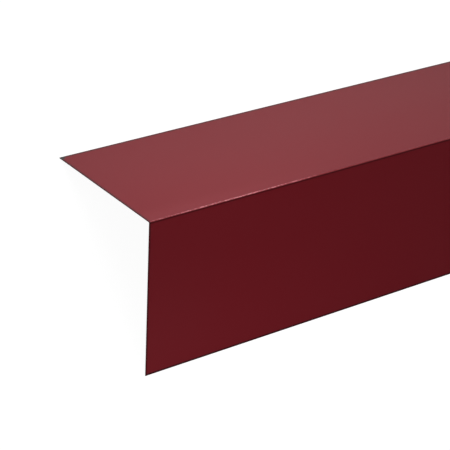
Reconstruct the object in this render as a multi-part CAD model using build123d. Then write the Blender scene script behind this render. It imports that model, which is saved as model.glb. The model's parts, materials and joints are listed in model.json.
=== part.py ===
from build123d import *
import math
import os

# Eaves flashing: one strip of coated steel sheet, folded once along its length.
# It rests on its two long cut edges with the fold uppermost, as it lies unheld on a level floor.
# X runs along the fold, +Y is the deck flange's side, +Z is up.
# The origin is the middle of the footprint, at floor level.

# Driving dimensions, in millimetres and degrees
LENGTH = 2000.0              # one piece as it is sold
DECK_FLANGE_WIDTH = 100.0    # lies on the roof deck: long edge to the outside corner of the fold
FASCIA_FLANGE_WIDTH = 105.0  # hangs down the fascia, measured the same way
SHEET_THICKNESS = 0.5        # steel core with its zinc and paint
FOLD_ANGLE = 92.0            # inside angle between the flanges, a little open after springback
FOLD_INSIDE_RADIUS = 0.5     # left by the nose of the folding machine

# Directions in the cross-section, with the outside corner of the fold at the top.
# The first coordinate runs towards the deck flange and the second one upwards.
HALF_ANGLE = FOLD_ANGLE / 2
FASCIA_SLOPE = Vector(0, -1).rotate(Axis.Z, -HALF_ANGLE)  # from the fold down the fascia flange
DECK_SLOPE = Vector(0, -1).rotate(Axis.Z, HALF_ANGLE)     # from the fold down the deck flange
FASCIA_INWARD = FASCIA_SLOPE.rotate(Axis.Z, 90)           # from the fascia flange's outer face inwards
DECK_INWARD = DECK_SLOPE.rotate(Axis.Z, -90)              # from the deck flange's outer face inwards


def folded_section():
    """Cross-section of the sheet: the outer line with its fold, thickened inwards."""
    outer_line = FilletPolyline(
        FASCIA_SLOPE * FASCIA_FLANGE_WIDTH,
        Vector(0, 0),
        DECK_SLOPE * DECK_FLANGE_WIDTH,
        radius=FOLD_INSIDE_RADIUS + SHEET_THICKNESS,
    )
    return make_face(offset(outer_line, SHEET_THICKNESS, side=Side.RIGHT, closed=True))


def resting_tilt():
    """Slope, in degrees, of the line through the two inside corners that the sheet lies on."""
    fascia_foot = FASCIA_SLOPE * FASCIA_FLANGE_WIDTH + FASCIA_INWARD * SHEET_THICKNESS
    deck_foot = DECK_SLOPE * DECK_FLANGE_WIDTH + DECK_INWARD * SHEET_THICKNESS
    stance = deck_foot - fascia_foot
    return math.degrees(math.atan2(stance.Y, stance.X))


def eaves_flashing():
    """The whole sheet, turned onto its two feet and centred over the origin."""
    section = Plane.YZ * Rot(0, 0, -resting_tilt()) * folded_section()
    sheet = extrude(section, amount=LENGTH / 2, both=True)
    box = sheet.bounding_box()
    return Pos(0, -box.center().Y, -box.min.Z) * sheet


os.makedirs("parts", exist_ok=True)
export_step(eaves_flashing(), "parts/eaves_flashing.step")
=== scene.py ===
"""Eaves flashing: the look of the folded, coated steel sheet and a plain studio to show it in."""
import json
import math
from typing import NamedTuple

import bpy
import numpy as np
from bpy.props import FloatProperty, FloatVectorProperty, IntProperty, PointerProperty
from mathutils import Matrix, Vector


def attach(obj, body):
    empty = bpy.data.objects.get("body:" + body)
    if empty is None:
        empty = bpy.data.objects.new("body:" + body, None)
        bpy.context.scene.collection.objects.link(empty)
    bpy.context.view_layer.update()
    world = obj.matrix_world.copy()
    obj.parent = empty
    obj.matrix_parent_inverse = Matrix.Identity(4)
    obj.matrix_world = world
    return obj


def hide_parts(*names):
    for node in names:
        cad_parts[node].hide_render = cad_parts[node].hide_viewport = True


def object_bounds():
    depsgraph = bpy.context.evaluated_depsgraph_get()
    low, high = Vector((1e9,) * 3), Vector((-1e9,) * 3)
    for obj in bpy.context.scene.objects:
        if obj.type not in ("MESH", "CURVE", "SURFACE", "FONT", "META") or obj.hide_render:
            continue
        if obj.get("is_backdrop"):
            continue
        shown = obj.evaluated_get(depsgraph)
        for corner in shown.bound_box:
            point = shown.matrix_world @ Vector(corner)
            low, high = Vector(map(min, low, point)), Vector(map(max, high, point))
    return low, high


bl_info = {
    "name": "Eaves flashing",
    "version": (1, 0, 0),
    "blender": (4, 5, 0),
    "location": "3D View > Sidebar > Flashing",
    "description": "Builds a folded eaves flashing of coated steel sheet and the studio around it",
    "category": "Object",
}

NODE = "eaves_flashing"

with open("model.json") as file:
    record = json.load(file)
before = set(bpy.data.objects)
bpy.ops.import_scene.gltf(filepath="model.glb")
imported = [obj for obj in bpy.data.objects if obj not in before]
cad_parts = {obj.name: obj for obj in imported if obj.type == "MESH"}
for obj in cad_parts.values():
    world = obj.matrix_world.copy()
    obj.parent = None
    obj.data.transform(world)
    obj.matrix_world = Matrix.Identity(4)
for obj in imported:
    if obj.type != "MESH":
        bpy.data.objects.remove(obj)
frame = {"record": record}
CAD_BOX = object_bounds()
COAT_SLOT = frame["record"]["materials"][0]
NEAR_END, FAR_END = CAD_BOX[0].x, CAD_BOX[1].x
FASCIA_EDGE, DECK_EDGE = CAD_BOX[0].y, CAD_BOX[1].y
BOX_TOLERANCE = 0.0003

# Order of the finishes in the sheet's material slots
PAINTED, BACKED, SHEARED = range(3)

# Strips of the flat map that the finishes can be baked into
WIDE_LANE = 0.2
THIN_LANE = 0.012
LANE_GAP = 0.005

# Painted highlight on worn coat, painted glow and painted shade across the fold, in metres from its outside
# corner: where each starts, is full, ebbs and ends
CREST = (-0.0003, 0.0001, 0.0004, 0.0009)
FOLD_GLOW = (0.0, 0.001, 0.003, 0.012)
CREASE_SHADE = (-0.0013, -0.0008, -0.0005, -0.0001)

# Wear and painted highlight along the fold near each end, in shares of the pale crest's reach from the end:
# where they start, are full, ebb and end
HANDLED_AND_HIGHLIT = (-0.25, 0.45, 0.6, 0.9)

# How much of the wear with painted highlight, the painted glow and the painted shade shows on the fold,
# from 0 to 1
HANDLED_RUB_AND_HIGHLIGHT = 0.3
HANDLED_SPECKS_AND_GLINTS = 0.85
LASTING_SPECKS_AND_GLINTS = 0.1
FOLD_GLOW_SHOWS = 0.05
CREASE_SHADE_DEPTH = 0.6

# Darker colour beside the cut edges: how dark, and where it fades out and is full in shares of the edge
# band
END_DARKENING = (0.6, 1.0, 0.5)
FASCIA_DARKENING = (0.95, 0.85, 0.35)
DECK_DARKENING = (0.7, 1.0, 0.5)

# Widths of what shows in the finishes, in metres, and how noise is stretched along the sheet
DRIFT = 0.09
GRAIN = 0.0011
SPECK_AND_GLINT = 0.0014
SMUDGE = 0.03
CHIP_RAG = 0.0012
STREAK = 0.006
CLOUD = 0.05
SHEAR_LINE = 0.0004
SHEAR_DEPTH = 0.00002
ALONG_COIL = (0.4, 1.0, 1.0)
STREAKED = (0.04, 1.0, 1.0)

# Levels of noise between which a speck of wear and painted glint appears, and the share of the chip that is
# wholly bare
SPECK_AND_GLINT_LEVELS = (0.50, 0.57)
BARE_SHARE = 0.7

# Sheen of the inside and of the cut edges
BACKING_ROUGHNESS = 0.51
BACKING_GLOSS = 0.35
STEEL_ROUGHNESS = 0.55
STEEL_GLOSS = 0.2
STEEL_METAL = 0.3

# Waves of the bow along the sheet: share of the belly, waves in the length and where they start
BOW_WAVES = ((0.6, 2.3, 0.1), (0.4, 5.1, 0.4))

# Faces that meet at more than this angle are shaded as an edge
EDGE_ANGLE = math.radians(40)

# Brightest direction of the dome, and the heights along it where light and reflected white rise
DOME_AXIS = Vector((0, 0.5, 0.87)).normalized()
DOME_RISE = (-0.1, 0.9)
DOME_WHITE = (0.2, 0.6)

# Where the floor's reflected white rises, from before the sheet to behind it, and where it has halved
FLOOR_WHITE = (-0.1, 0.22)
FLOOR_WHITE_HALVED = NEAR_END + 0.9

# Grey of the floor under its lift, which carries the shadow that the camera sees
FAINT_FLOOR = 0.10

# Millimetres
SENSOR_WIDTH = 36


class FlashingSheet(bpy.types.PropertyGroup):
    """Sizes of the folded sheet."""

    deck_width: FloatProperty(
        name="Deck flange",
        description="Width of the flange on the roof deck, to the outside corner of the fold",
        default=0.100, min=0.02, precision=4, subtype="DISTANCE",
    )
    fascia_width: FloatProperty(
        name="Fascia flange",
        description="Width of the flange over the fascia, to the outside corner of the fold",
        default=0.105, min=0.02, precision=4, subtype="DISTANCE",
    )
    thickness: FloatProperty(
        name="Sheet thickness",
        description="Steel core with its zinc and paint",
        default=0.0005, min=0.0002, precision=5, subtype="DISTANCE",
    )
    fold_angle: FloatProperty(
        name="Fold angle",
        description="Inside angle between the flanges",
        default=math.radians(92), subtype="ANGLE",
    )
    fold_radius: FloatProperty(
        name="Inside fold radius",
        description="Left by the nose of the folding machine",
        default=0.0005, min=0.0002, precision=5, subtype="DISTANCE",
    )
    rollover: FloatProperty(
        name="Shear rollover",
        description="Rounding that the shear leaves on the painted side of each cut edge",
        default=0.00008, min=0.00001, precision=5, subtype="DISTANCE",
    )
    belly: FloatProperty(
        name="Flange belly",
        description="How far thin sheet bows out or in across a flange, somewhere along the length",
        default=0.00025, min=0.0, precision=5, subtype="DISTANCE",
    )
    fold_steps: IntProperty(
        name="Fold steps", description="Faces round the fold", default=16, min=4,
    )
    flange_steps: IntProperty(
        name="Flange steps", description="Faces across each flange", default=12, min=4,
    )
    length_steps: IntProperty(
        name="Length steps", description="Faces along the sheet", default=160, min=8,
    )


class FlashingFinish(bpy.types.PropertyGroup):
    """Colours and surface of the coats and the cut steel."""

    coat_colour: FloatVectorProperty(
        name="Coat", description="Polyester coat on the outside",
        default=COAT_SLOT["base_color"][:3], size=3, min=0, max=1, subtype="COLOR",
    )
    coat_roughness: FloatProperty(
        name="Coat roughness", description="Satin, from 0 for a mirror to 1 for chalk",
        default=0.30, min=0, max=1, subtype="FACTOR",
    )
    coat_gloss: FloatProperty(
        name="Coat gloss", description="Strength of the coat's white reflection",
        default=0.20, min=0, max=1, subtype="FACTOR",
    )
    peel_size: FloatProperty(
        name="Orange peel", description="Width of the coat's fine ripples",
        default=0.0025, min=0.0002, precision=5, subtype="DISTANCE",
    )
    peel_depth: FloatProperty(
        name="Peel depth", description="Height of the coat's fine ripples",
        default=0.000004, min=0.0, precision=7, subtype="DISTANCE",
    )
    # Pale crest along the fold: coat stretched and worn, and a painted highlight
    rubbed_and_highlight_colour: FloatVectorProperty(
        name="Rubbed crest", description="Coat that is stretched and rubbed pale along the fold",
        default=(0.40, 0.105, 0.125), size=3, min=0, max=1, subtype="COLOR",
    )
    # How far from each end the pale crest, worn and painted as a highlight, reaches
    rubbed_and_highlight_reach: FloatProperty(
        name="Rubbed reach", description="How far from each end the fold is rubbed by handling",
        default=0.16, min=0.01, subtype="DISTANCE",
    )
    # Darker colour beside the cut edges
    edge_darkening_colour: FloatVectorProperty(
        name="Cut edge", description="Cracked, dirty coat beside the cut edges",
        default=(0.03, 0.003, 0.005), size=3, min=0, max=1, subtype="COLOR",
    )
    edge_band: FloatProperty(
        name="Edge band", description="Width of the dark coat beside the cut edges",
        default=0.0015, min=0.0001, precision=5, subtype="DISTANCE",
    )
    chip_colour: FloatVectorProperty(
        name="Chip", description="Bare, dull zinc where the coat is knocked off a corner",
        default=(0.03, 0.028, 0.028), size=3, min=0, max=1, subtype="COLOR",
    )
    chip_size: FloatProperty(
        name="Chip size", description="Reach of the bare spot from the corner",
        default=0.005, min=0.0005, precision=4, subtype="DISTANCE",
    )
    backing_colour: FloatVectorProperty(
        name="Backing", description="Thin coat on the inside",
        default=(0.55, 0.57, 0.55), size=3, min=0, max=1, subtype="COLOR",
    )
    steel_colour: FloatVectorProperty(
        name="Cut steel", description="Sheared steel at the edges",
        default=(0.045, 0.016, 0.018), size=3, min=0, max=1, subtype="COLOR",
    )


class FlashingStudio(bpy.types.PropertyGroup):
    """Floor, light and camera."""

    floor_colour: FloatVectorProperty(
        name="Floor", description="Mid-grey floor as the light sees it",
        default=(0.45, 0.45, 0.45), size=3, min=0, max=1, subtype="COLOR",
    )
    floor_size: FloatProperty(
        name="Floor size", description="Side of the square floor",
        default=80.0, min=4, subtype="DISTANCE",
    )
    floor_lift: FloatProperty(
        name="Floor lift", description="White that the camera sees in the floor, even in shadow",
        default=0.95, min=0, max=1, subtype="FACTOR",
    )
    white_share: FloatProperty(
        name="White share", description="Share of the white background that shows in reflections",
        default=0.34, min=0, max=1, subtype="FACTOR",
    )
    sky_bright: FloatProperty(
        name="Bright side", description="Light of the dome above and behind the sheet",
        default=0.785, min=0,
    )
    sky_dark: FloatProperty(
        name="Dark side", description="Light of the dome in front of the sheet",
        default=0.01, min=0,
    )
    rear_light: FloatProperty(
        name="Rear light", description="Brightness of the two long softboxes behind the sheet",
        default=1.48, min=0,
    )
    front_light: FloatProperty(
        name="Front light", description="Brightness of the long strip before the sheet",
        default=1.36, min=0,
    )
    high_light: FloatProperty(
        name="High light", description="Brightness of the small softbox above the near end",
        default=2.0, min=0,
    )
    low_light: FloatProperty(
        name="Low light", description="Brightness of the small softbox before the near end",
        default=0.92, min=0,
    )
    glint_light: FloatProperty(
        name="Glint light", description="Brightness of the small lamp behind the fold",
        default=10.0, min=0,
    )
    camera_aim: FloatVectorProperty(
        name="Aim", description="Point in the middle of the picture, from the near end of the sheet",
        default=(0.05604, -0.00853, 0.06044), size=3, precision=5, subtype="TRANSLATION",
    )
    camera_azimuth: FloatProperty(
        name="Azimuth", description="Turn of the camera round the sheet, from the fascia side",
        default=math.radians(-73.807), subtype="ANGLE",
    )
    camera_elevation: FloatProperty(
        name="Elevation", description="Height of the camera above the floor",
        default=math.radians(55.065), subtype="ANGLE",
    )
    camera_roll: FloatProperty(
        name="Roll", description="Lean of the camera that makes the deck flange look level",
        default=math.radians(54.436), subtype="ANGLE",
    )
    camera_distance: FloatProperty(
        name="Distance", description="From the camera to the aim",
        default=1.08543, min=0.1, precision=4, subtype="DISTANCE",
    )
    camera_lens: FloatProperty(
        name="Lens", description="Focal length",
        default=142.782, min=10, precision=2, subtype="DISTANCE_CAMERA",
    )


class Wire:
    """An output socket. Arithmetic with numbers and other wires adds Math nodes to its tree."""

    def __init__(self, graph, socket):
        self.graph = graph
        self.socket = socket

    def math(self, operation, *terms):
        return self.graph.node("ShaderNodeMath", {"operation": operation}, dict(enumerate(terms)))

    def __add__(self, other):
        return self.math("ADD", self, other)

    def __radd__(self, other):
        return self.math("ADD", other, self)

    def __sub__(self, other):
        return self.math("SUBTRACT", self, other)

    def __rsub__(self, other):
        return self.math("SUBTRACT", other, self)

    def __mul__(self, other):
        return self.math("MULTIPLY", self, other)

    def __rmul__(self, other):
        return self.math("MULTIPLY", other, self)

    def at_least(self, other):
        return self.math("MAXIMUM", self, other)

    def size(self):
        return self.math("ABSOLUTE", self)


class Graph:
    """A node tree that is built one node at a time."""

    def __init__(self, tree):
        self.tree = tree
        tree.nodes.clear()

    def node(self, kind, settings=None, sockets=None, out=0):
        """Adds a node, sets its settings and then its sockets, and gives one of its outputs."""
        made = self.tree.nodes.new(kind)
        for name, value in (settings or {}).items():
            setattr(made, name, value)
        for name, value in (sockets or {}).items():
            if isinstance(value, Wire):
                self.tree.links.new(value.socket, made.inputs[name])
            else:
                made.inputs[name].default_value = value
        return Wire(self, made.outputs[out]) if made.outputs else None

    def place(self):
        """Where a point of the surface lies, in metres in the shared frame."""
        return self.node("ShaderNodeTexCoord", out="Object")

    def axis(self, place, name):
        """One coordinate of a place."""
        return self.node("ShaderNodeSeparateXYZ", None, {0: place}, out=name)

    def noise(self, place, size, detail=2.0):
        """Noise from 0 to 1, with features about size metres wide."""
        sockets = {"Vector": place, "Scale": 1 / size, "Detail": detail}
        return self.node("ShaderNodeTexNoise", None, sockets)

    def stretched(self, place, factors):
        """Coordinates multiplied along each axis."""
        return self.node("ShaderNodeVectorMath", {"operation": "MULTIPLY"}, {0: place, 1: factors})

    def distance(self, place, point):
        """How far a place is from a fixed point."""
        sockets = {0: place, 1: point}
        return self.node("ShaderNodeVectorMath", {"operation": "DISTANCE"}, sockets, out="Value")

    def along(self, vector, direction):
        """Length of a vector along a fixed direction."""
        sockets = {0: vector, 1: direction}
        return self.node("ShaderNodeVectorMath", {"operation": "DOT_PRODUCT"}, sockets, out="Value")

    def ramp(self, value, low, high):
        """Smooth rise from 0 at low to 1 at high, or fall where low is the larger."""
        sockets = {"Value": value, "From Min": low, "From Max": high}
        return self.node("ShaderNodeMapRange", {"interpolation_type": "SMOOTHSTEP"}, sockets)

    def band(self, value, start, full, ebb, end):
        """Smooth rise from 0 at start to 1 at full, and fall from 1 at ebb to 0 at end."""
        return self.ramp(value, start, full) * self.ramp(value, end, ebb)

    def seen_by(self, kind):
        """1 for rays of a kind, and 0 for the rest."""
        return self.node("ShaderNodeLightPath", out=f"Is {kind} Ray")

    def shaded(self, colour, value):
        """A colour multiplied by a value that changes over the surface."""
        settings = {"data_type": "RGBA", "blend_type": "MULTIPLY"}
        return self.node("ShaderNodeMix", settings, {0: 1.0, 6: colour, 7: value}, out=2)

    def between(self, factor, colour, other):
        """A mix of two colours."""
        return self.node("ShaderNodeMix", {"data_type": "RGBA"}, {0: factor, 6: colour, 7: other}, out=2)

    def bump(self, height, depth):
        """A normal that follows a height from 0 to 1, depth metres high."""
        return self.node("ShaderNodeBump", None, {"Height": height, "Distance": depth}, out="Normal")


def opaque(colour):
    """A colour with the alpha that shader sockets want."""
    return (*colour, 1.0)


def grey(value):
    """An opaque grey."""
    return (value, value, value, 1.0)


def varied(middle, *layers):
    """A value that varies about a middle, by layers of noise with the spread of each."""
    return sum((spread * (noise - 0.5) for noise, spread in layers), middle)


def new_material(name):
    """An empty node material."""
    material = bpy.data.materials.new(name)
    material.use_nodes = True
    return material, Graph(material.node_tree)


def finish_surface(graph, sockets):
    """Ends a material in one Principled shader."""
    shader = graph.node("ShaderNodeBsdfPrincipled", None, sockets)
    graph.node("ShaderNodeOutputMaterial", None, {"Surface": shader})


def wine_red_coat(finish, section):
    """Satin coat with orange peel, a worn fold with painted highlight, glow and shade, darker colour beside
    the cut edges, and a chipped corner.
    """
    material, graph = new_material("wine_red_polyester_coat")
    place = graph.place()
    end_gap = FAR_END - graph.axis(place, "X").size()
    across = graph.axis(place, "Y")
    from_fold = across - section.fold

    def beside(gap, dark, out, full):
        return dark * graph.ramp(gap, out * finish.edge_band, full * finish.edge_band)

    drift = graph.noise(graph.stretched(place, ALONG_COIL), DRIFT)
    grain = graph.noise(place, GRAIN)
    colour = graph.shaded(opaque(finish.coat_colour), varied(1, (drift, 0.05), (grain, 0.04)))

    # Pale crest along the fold: worn coat and a painted highlight, with painted glints among its dots,
    # strongest near each end
    crest = graph.band(from_fold, *CREST)
    reach = finish.rubbed_and_highlight_reach
    handled_and_highlit = graph.band(end_gap, *(share * reach for share in HANDLED_AND_HIGHLIT))
    specks_and_glints = graph.ramp(graph.noise(place, SPECK_AND_GLINT), *SPECK_AND_GLINT_LEVELS)
    rubbed_and_highlit = crest * (HANDLED_RUB_AND_HIGHLIGHT * handled_and_highlit + (LASTING_SPECKS_AND_GLINTS + HANDLED_SPECKS_AND_GLINTS * handled_and_highlit) * specks_and_glints)
    # Painted glow on the coat beside the fold, near each end
    fold_glow = graph.band(from_fold, *FOLD_GLOW) * graph.ramp(end_gap, reach, 0.0)
    pale = rubbed_and_highlit.at_least(FOLD_GLOW_SHOWS * fold_glow)
    colour = graph.between(pale, colour, opaque(finish.rubbed_and_highlight_colour))
    # Painted shade in a thin line just under the fold's outside corner
    colour = graph.shaded(colour, 1 - CREASE_SHADE_DEPTH * graph.band(from_fold, *CREASE_SHADE))

    # Darker colour beside the cut edges, at both ends and along both long edges
    cut = beside(end_gap, *END_DARKENING)
    cut = cut.at_least(beside(across - FASCIA_EDGE, *FASCIA_DARKENING))
    cut = cut.at_least(beside(DECK_EDGE - across, *DECK_DARKENING))
    colour = graph.between(cut, colour, opaque(finish.edge_darkening_colour))

    from_corner = graph.distance(place, (NEAR_END, DECK_EDGE, 0))
    ragged = from_corner + CHIP_RAG * graph.noise(place, CHIP_RAG)
    chip = graph.ramp(ragged, finish.chip_size, BARE_SHARE * finish.chip_size)
    colour = graph.between(chip, colour, opaque(finish.chip_colour))

    smudge = graph.noise(graph.stretched(place, ALONG_COIL), SMUDGE)
    peel = graph.noise(place, finish.peel_size, detail=1.0)
    finish_surface(graph, {
        "Base Color": colour,
        "Roughness": varied(finish.coat_roughness, (smudge, 0.06)) - 0.06 * crest,
        "Specular IOR Level": finish.coat_gloss,
        "Normal": graph.bump(peel, finish.peel_depth),
    })
    return material


def grey_backing_coat(finish):
    """Thin grey coat on the inside, a little streaky along the coil."""
    material, graph = new_material("grey_backing_coat")
    place = graph.place()
    streaks = graph.noise(graph.stretched(place, STREAKED), STREAK)
    cloud = graph.noise(place, CLOUD)
    tone = varied(1, (streaks, 0.12), (cloud, 0.08))
    peel = graph.noise(place, finish.peel_size, detail=1.0)
    finish_surface(graph, {
        "Base Color": graph.shaded(opaque(finish.backing_colour), tone),
        "Roughness": varied(BACKING_ROUGHNESS, (cloud, 0.10)),
        "Specular IOR Level": BACKING_GLOSS,
        "Normal": graph.bump(peel, finish.peel_depth),
    })
    return material


def sheared_steel(finish):
    """Bare steel on the cut edges, with the fine lines of the shear."""
    material, graph = new_material("sheared_steel_edge")
    lines = graph.noise(graph.place(), SHEAR_LINE)
    finish_surface(graph, {
        "Base Color": graph.shaded(opaque(finish.steel_colour), varied(1, (lines, 0.5))),
        "Metallic": STEEL_METAL,
        "Roughness": varied(STEEL_ROUGHNESS, (lines, 0.2)),
        "Specular IOR Level": STEEL_GLOSS,
        "Normal": graph.bump(lines, SHEAR_DEPTH),
    })
    return material


class Section(NamedTuple):
    """Cross-section at rest, from the fascia flange's free edge over the fold to the deck flange's."""

    outer: np.ndarray     # y and z of the points on the painted side
    inward: np.ndarray    # direction into the sheet at each point
    edge_gap: np.ndarray  # distance from the nearer free edge
    bow: np.ndarray       # share of the belly that each point takes
    fold: float           # y of the outside corner of the fold


def edge_steps(rollover):
    """Distances from a cut edge that follow its small rounding, and one more where the flat begins."""
    return rollover * np.array([0, 1 - math.cos(math.pi / 6), 0.5, 1, 2])


def flange_rows(sheet, side, width):
    """Rows of outer point, inward direction, edge gap and bow, from a flange's free edge to the fold."""
    half = sheet.fold_angle / 2
    slope = np.array([side * math.sin(half), -math.cos(half)])
    inward = np.array([-side * math.cos(half), -math.sin(half)])
    flat = width - (sheet.fold_radius + sheet.thickness) / math.tan(half)
    even = np.linspace(0, flat, sheet.flange_steps + 1)[1:-1]
    gaps = np.concatenate([edge_steps(sheet.rollover), even, [flat - sheet.rollover, flat]])
    points = (width - gaps)[:, None] * slope
    bow = side * np.sin(np.pi * gaps / flat) ** 2
    return np.column_stack([points, np.tile(inward, (len(gaps), 1)), gaps, bow])


def fold_rows(sheet):
    """The same rows round the fold, between the two flanges."""
    half = sheet.fold_angle / 2
    radius = sheet.fold_radius + sheet.thickness
    turn = np.linspace(math.pi - half, half, sheet.fold_steps + 1)[1:-1]
    out = np.column_stack([np.cos(turn), np.sin(turn)])
    points = radius * out - [0, radius / math.sin(half)]
    far = np.full(len(turn), min(sheet.fascia_width, sheet.deck_width))
    return np.column_stack([points, -out, far, np.zeros(len(turn))])


def turned(points, angle):
    """Points of the cross-section turned about the origin."""
    cos, sin = math.cos(angle), math.sin(angle)
    return points @ np.array([[cos, sin], [-sin, cos]])


def section_at_rest(sheet):
    """The cross-section on its two feet, with the middle of the footprint at the origin."""
    fascia = flange_rows(sheet, -1, sheet.fascia_width)
    deck = flange_rows(sheet, 1, sheet.deck_width)[::-1]
    rows = np.vstack([fascia, fold_rows(sheet), deck])
    outer, inward = rows[:, :2], rows[:, 2:4]
    feet = (outer + sheet.thickness * inward)[[0, -1]]
    stance = feet[1] - feet[0]
    tilt = -math.atan2(stance[1], stance[0])
    outer, inward, feet = (turned(points, tilt) for points in (outer, inward, feet))
    middle = (outer[0, 0] + outer[-1, 0]) / 2
    return Section(outer - [middle, feet[0, 1]], inward, rows[:, 4], rows[:, 5], -middle)


def bowed(places):
    """Slow uneven wave along the sheet, from -1 to 1, which dies out at both ends."""
    along = (places - NEAR_END) / (FAR_END - NEAR_END)
    waves = sum(share * np.sin(2 * math.pi * (count * along + start)) for share, count, start in BOW_WAVES)
    return waves * np.sin(math.pi * along) ** 0.5


def rounding(gap, rollover):
    """How far the painted side drops at a distance from a cut edge."""
    short = np.clip(rollover - gap, 0, rollover)
    return rollover - np.sqrt(rollover ** 2 - short ** 2)


class Strip(NamedTuple):
    """A grid of vertices in one finish, with the lengths of its rows and columns for the flat map."""

    grid: np.ndarray
    finish: int
    lengths: np.ndarray
    widths: np.ndarray

    def faces(self):
        """Corner indices of the faces between neighbouring rows and columns."""
        grid = self.grid
        return np.stack([grid[:-1, :-1], grid[1:, :-1], grid[1:, 1:], grid[:-1, 1:]], -1).reshape(-1, 4)

    def flat_map(self, base, height):
        """The strip in two lanes of the flat map, cut at its middle row: a point for each face corner."""
        lengths, widths = self.lengths, self.widths
        half = (len(lengths) - 1) // 2
        row, column = np.meshgrid(np.arange(len(lengths) - 1), np.arange(len(widths) - 1), indexing="ij")
        second = row >= half
        start = np.where(second, lengths[half], lengths[0])
        span = np.where(second, lengths[-1] - lengths[half], lengths[half] - lengths[0])
        foot = base + np.where(second, height + LANE_GAP, 0)
        corners = []
        for down, right in ((0, 0), (1, 0), (1, 1), (0, 1)):
            u = (lengths[row + down] - start) / span
            v = (widths[column + right] - widths[0]) / (widths[-1] - widths[0])
            corners.append(np.stack([LANE_GAP + (1 - 2 * LANE_GAP) * u, foot + height * v], -1))
        return np.stack(corners, 2).reshape(-1, 2)


def sheet_points(sheet, section, places):
    """Points of the painted and the backed side at every place along the sheet."""
    end_gap = np.minimum(places - NEAR_END, FAR_END - places)
    drop = rounding(np.minimum(end_gap[:, None], section.edge_gap), sheet.rollover)
    bow = sheet.belly * bowed(places)[:, None] * section.bow
    sides = []
    for depth in (drop, np.full_like(drop, sheet.thickness)):
        yz = section.outer + (depth - bow)[..., None] * section.inward
        x = np.broadcast_to(places[:, None, None], (*drop.shape, 1))
        sides.append(np.concatenate([x, yz], 2))
    return np.stack(sides)


def sheet_strips(section, places, thickness):
    """The painted side, the backed side and the four cut edges."""
    count = len(places) * len(section.outer)
    painted = np.arange(count).reshape(len(places), len(section.outer))
    backed = painted + count
    across = np.concatenate([[0], np.cumsum(np.linalg.norm(np.diff(section.outer, axis=0), axis=1))])
    thin = np.array([0.0, thickness])

    def edge(first, second, lengths):
        return Strip(np.stack([first, second], 1), SHEARED, lengths, thin)

    return [
        Strip(painted, PAINTED, places, across),
        Strip(backed[:, ::-1], BACKED, places, across),
        edge(backed[:, 0], painted[:, 0], places),
        edge(painted[:, -1], backed[:, -1], places),
        edge(backed[0, ::-1], painted[0, ::-1], across),
        edge(backed[-1], painted[-1], across),
    ]


def flat_maps(strips):
    """The flat maps of all strips, in lanes above one another."""
    maps, base = [], LANE_GAP
    for strip in strips:
        height = THIN_LANE if strip.finish == SHEARED else WIDE_LANE
        maps.append(strip.flat_map(base, height))
        base += 2 * (height + LANE_GAP)
    return np.concatenate(maps)


def build_sheet(sheet, finish):
    """The folded sheet as one closed mesh with its three finishes."""
    section = section_at_rest(sheet)
    margin = edge_steps(sheet.rollover)
    even = np.linspace(NEAR_END, FAR_END, sheet.length_steps + 1)[1:-1]
    places = np.concatenate([NEAR_END + margin, even, FAR_END - margin[::-1]])
    points = sheet_points(sheet, section, places)
    strips = sheet_strips(section, places, sheet.thickness)
    faces = np.concatenate([strip.faces() for strip in strips])
    finishes = np.concatenate([np.full(len(strip.faces()), strip.finish) for strip in strips])

    mesh = bpy.data.meshes.new("folded_sheet")
    mesh.from_pydata(points.reshape(-1, 3).tolist(), [], faces.tolist())
    mesh.polygons.foreach_set("material_index", finishes.astype(np.int32))
    mesh.polygons.foreach_set("use_smooth", np.ones(len(faces), bool))
    flat = flat_maps(strips).astype(np.float32)
    mesh.uv_layers.new(name="OFBake").uv.foreach_set("vector", flat.ravel())
    mesh.set_sharp_from_angle(angle=EDGE_ANGLE)
    for material in (wine_red_coat(finish, section), grey_backing_coat(finish), sheared_steel(finish)):
        mesh.materials.append(material)
    if mesh.validate(verbose=True):
        raise RuntimeError("the folded sheet's mesh has bad faces")
    return mesh


class FLASHING_OT_build_sheet(bpy.types.Operator):
    """Build the folded sheet over its solid, with its coats and cut edges"""

    bl_idname = "flashing.build_sheet"
    bl_label = "Folded sheet"

    def execute(self, context):
        scene = context.scene
        mesh = build_sheet(scene.flashing_sheet, scene.flashing_finish)
        piece = bpy.data.objects.new("folded_sheet", mesh)
        scene.collection.objects.link(piece)
        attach(piece, "root")
        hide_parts(NODE)
        for cad, own in zip(CAD_BOX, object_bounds()):
            if (cad - own).length > BOX_TOLERANCE:
                raise RuntimeError(f"the sheet's box {tuple(own)} is off the solid's {tuple(cad)}")
        return {"FINISHED"}


def background_share(graph, reflected):
    """How much of the white background a ray sees: all from the camera, and a share in reflections."""
    camera, through, glossy = (graph.seen_by(kind) for kind in ("Camera", "Transmission", "Glossy"))
    return camera.at_least(through).at_least(reflected * glossy)


def white_floor(studio):
    """Mid-grey floor for the light. The camera sees it nearly white, with the sheet's shadow left faint."""
    material, graph = new_material("pale_studio_floor")
    lit = graph.node("ShaderNodeBsdfDiffuse", None, {"Color": opaque(studio.floor_colour)})
    faint = graph.node("ShaderNodeBsdfDiffuse", None, {"Color": grey(FAINT_FLOOR)})
    glow = graph.node("ShaderNodeEmission", None, {"Strength": studio.floor_lift})
    seen = graph.node("ShaderNodeAddShader", None, {0: faint, 1: glow})
    place = graph.place()
    behind = graph.ramp(graph.axis(place, "Y"), *FLOOR_WHITE)
    further = graph.ramp(graph.axis(place, "X"), NEAR_END, FLOOR_WHITE_HALVED)
    share = background_share(graph, studio.white_share * behind * (1 - 0.5 * further))
    surface = graph.node("ShaderNodeMixShader", None, {0: share, 1: lit, 2: seen})
    graph.node("ShaderNodeOutputMaterial", None, {"Surface": surface})
    return material


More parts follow.
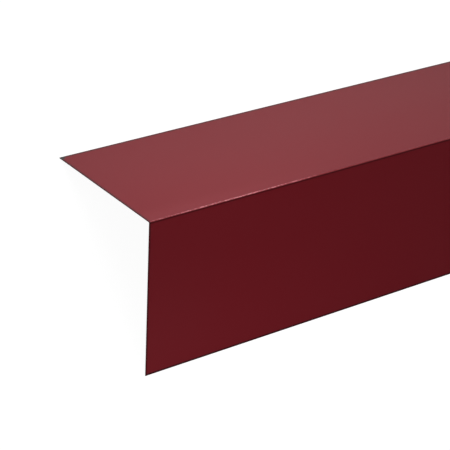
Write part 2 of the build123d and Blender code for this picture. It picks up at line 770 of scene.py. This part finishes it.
def studio_dome(studio):
    """Soft light that is bright above and behind the sheet and dark in front. The camera sees white."""
    world = bpy.data.worlds.new("studio_dome")
    world.use_nodes = True
    graph = Graph(world.node_tree)

    def even_light(strength):
        return graph.node("ShaderNodeBackground", None, {"Color": grey(1.0), "Strength": strength})

    height = graph.along(graph.node("ShaderNodeTexCoord", out="Generated"), DOME_AXIS)
    dark, bright = even_light(studio.sky_dark), even_light(studio.sky_bright)
    dome = graph.node("ShaderNodeMixShader", None, {0: graph.ramp(height, *DOME_RISE), 1: dark, 2: bright})
    share = background_share(graph, studio.white_share * graph.ramp(height, *DOME_WHITE))
    surface = graph.node("ShaderNodeMixShader", None, {0: share, 1: dome, 2: even_light(1.0)})
    graph.node("ShaderNodeOutputWorld", None, {"Surface": surface})
    return world


class Softbox(NamedTuple):
    """A rectangular lamp of even brightness, placed and aimed from the near end of the sheet."""

    name: str
    centre: tuple
    aim: tuple
    width: float
    height: float
    brightness: float
    mirrored: bool = True

    def hang(self, scene):
        """Adds the lamp, which the camera doesn't see."""
        lamp = bpy.data.lights.new(self.name, "AREA")
        lamp.shape = "RECTANGLE"
        lamp.size = self.width
        lamp.size_y = self.height
        lamp.energy = self.brightness * math.pi * self.width * self.height
        holder = bpy.data.objects.new(self.name, lamp)
        holder.location = Vector((NEAR_END, 0, 0)) + Vector(self.centre)
        facing = Vector(self.aim) - Vector(self.centre)
        holder.rotation_euler = facing.to_track_quat("-Z", "Y").to_euler()
        holder.visible_camera = False
        holder.visible_glossy = self.mirrored
        scene.collection.objects.link(holder)


def softboxes(studio):
    """Long lamps behind and before the sheet, and small ones close to its near end."""
    rear, front, glint = studio.rear_light, studio.front_light, studio.glint_light
    high, low = studio.high_light, studio.low_light
    return (
        Softbox("rear_softbox_near", (0.25, 1.05, 0.75), (0.25, 0, 0.05), 1.3, 0.8, rear),
        Softbox("rear_softbox_far", (1.75, 1.05, 0.75), (1.75, 0, 0.05), 1.3, 0.8, rear),
        Softbox("front_strip", (1.0, -0.8, 0.35), (1.0, 0, 0.05), 2.4, 0.3, front, mirrored=False),
        Softbox("high_softbox", (0.03, 0.10, 0.20), (0.03, 0, 0.05), 0.15, 0.15, high, mirrored=False),
        Softbox("low_softbox", (0.0, -0.20, 0.07), (0.05, 0, 0), 0.3, 0.12, low, mirrored=False),
        Softbox("glint_softbox", (0.24, 0.245, 0.205), (0.06, 0, 0.07), 0.06, 0.12, glint),
    )


def look(scene, studio):
    """The camera, placed by its aim, two angles, a distance and a lean."""
    azimuth, elevation = studio.camera_azimuth, studio.camera_elevation
    back = Vector((
        math.sin(azimuth) * math.cos(elevation),
        -math.cos(azimuth) * math.cos(elevation),
        math.sin(elevation),
    ))
    aim = Vector((NEAR_END, 0, 0)) + Vector(studio.camera_aim)
    lens = bpy.data.cameras.new("camera")
    lens.lens = studio.camera_lens
    lens.sensor_width = SENSOR_WIDTH
    camera = bpy.data.objects.new("camera", lens)
    level = (-back).to_track_quat("-Z", "Y").to_matrix()
    lean = Matrix.Rotation(studio.camera_roll, 3, "Z")
    camera.rotation_euler = (level @ lean).to_euler()
    camera.location = aim + back * studio.camera_distance
    scene.collection.objects.link(camera)
    scene.camera = camera


class FLASHING_OT_build_stage(bpy.types.Operator):
    """Set up the floor, the dome, the softboxes and the camera"""

    bl_idname = "flashing.build_stage"
    bl_label = "Stage"

    def execute(self, context):
        scene = context.scene
        studio = scene.flashing_studio
        reach = studio.floor_size / 2
        ground = bpy.data.meshes.new("floor")
        corners = [(-reach, -reach, 0), (reach, -reach, 0), (reach, reach, 0), (-reach, reach, 0)]
        ground.from_pydata(corners, [], [(0, 1, 2, 3)])
        ground.materials.append(white_floor(studio))
        floor = bpy.data.objects.new("floor", ground)
        scene.collection.objects.link(floor)
        floor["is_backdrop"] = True
        scene.world = studio_dome(studio)
        for lamp in softboxes(studio):
            lamp.hang(scene)
        look(scene, studio)
        scene.view_settings.view_transform = "Standard"
        return {"FINISHED"}


class FLASHING_PT_panel(bpy.types.Panel):
    """Settings and steps of the eaves flashing"""

    bl_idname = "FLASHING_PT_panel"
    bl_label = "Eaves flashing"
    bl_space_type = "VIEW_3D"
    bl_region_type = "UI"
    bl_category = "Flashing"

    def draw(self, context):
        scene = context.scene
        for settings in (scene.flashing_sheet, scene.flashing_finish, scene.flashing_studio):
            box = self.layout.box()
            for name in settings.__annotations__:
                box.prop(settings, name)
        for step in STEPS:
            self.layout.operator(step.bl_idname)


SETTINGS = {
    "flashing_sheet": FlashingSheet,
    "flashing_finish": FlashingFinish,
    "flashing_studio": FlashingStudio,
}
STEPS = (FLASHING_OT_build_sheet, FLASHING_OT_build_stage)
CLASSES = (*SETTINGS.values(), *STEPS, FLASHING_PT_panel)


def register():
    for made in CLASSES:
        bpy.utils.register_class(made)
    for name, kind in SETTINGS.items():
        setattr(bpy.types.Scene, name, PointerProperty(type=kind))


def unregister():
    for name in SETTINGS:
        delattr(bpy.types.Scene, name)
    for made in reversed(CLASSES):
        bpy.utils.unregister_class(made)


def main():
    register()
    bpy.ops.flashing.build_sheet()
    bpy.ops.flashing.build_stage()


if __name__ == "__main__":
    main()
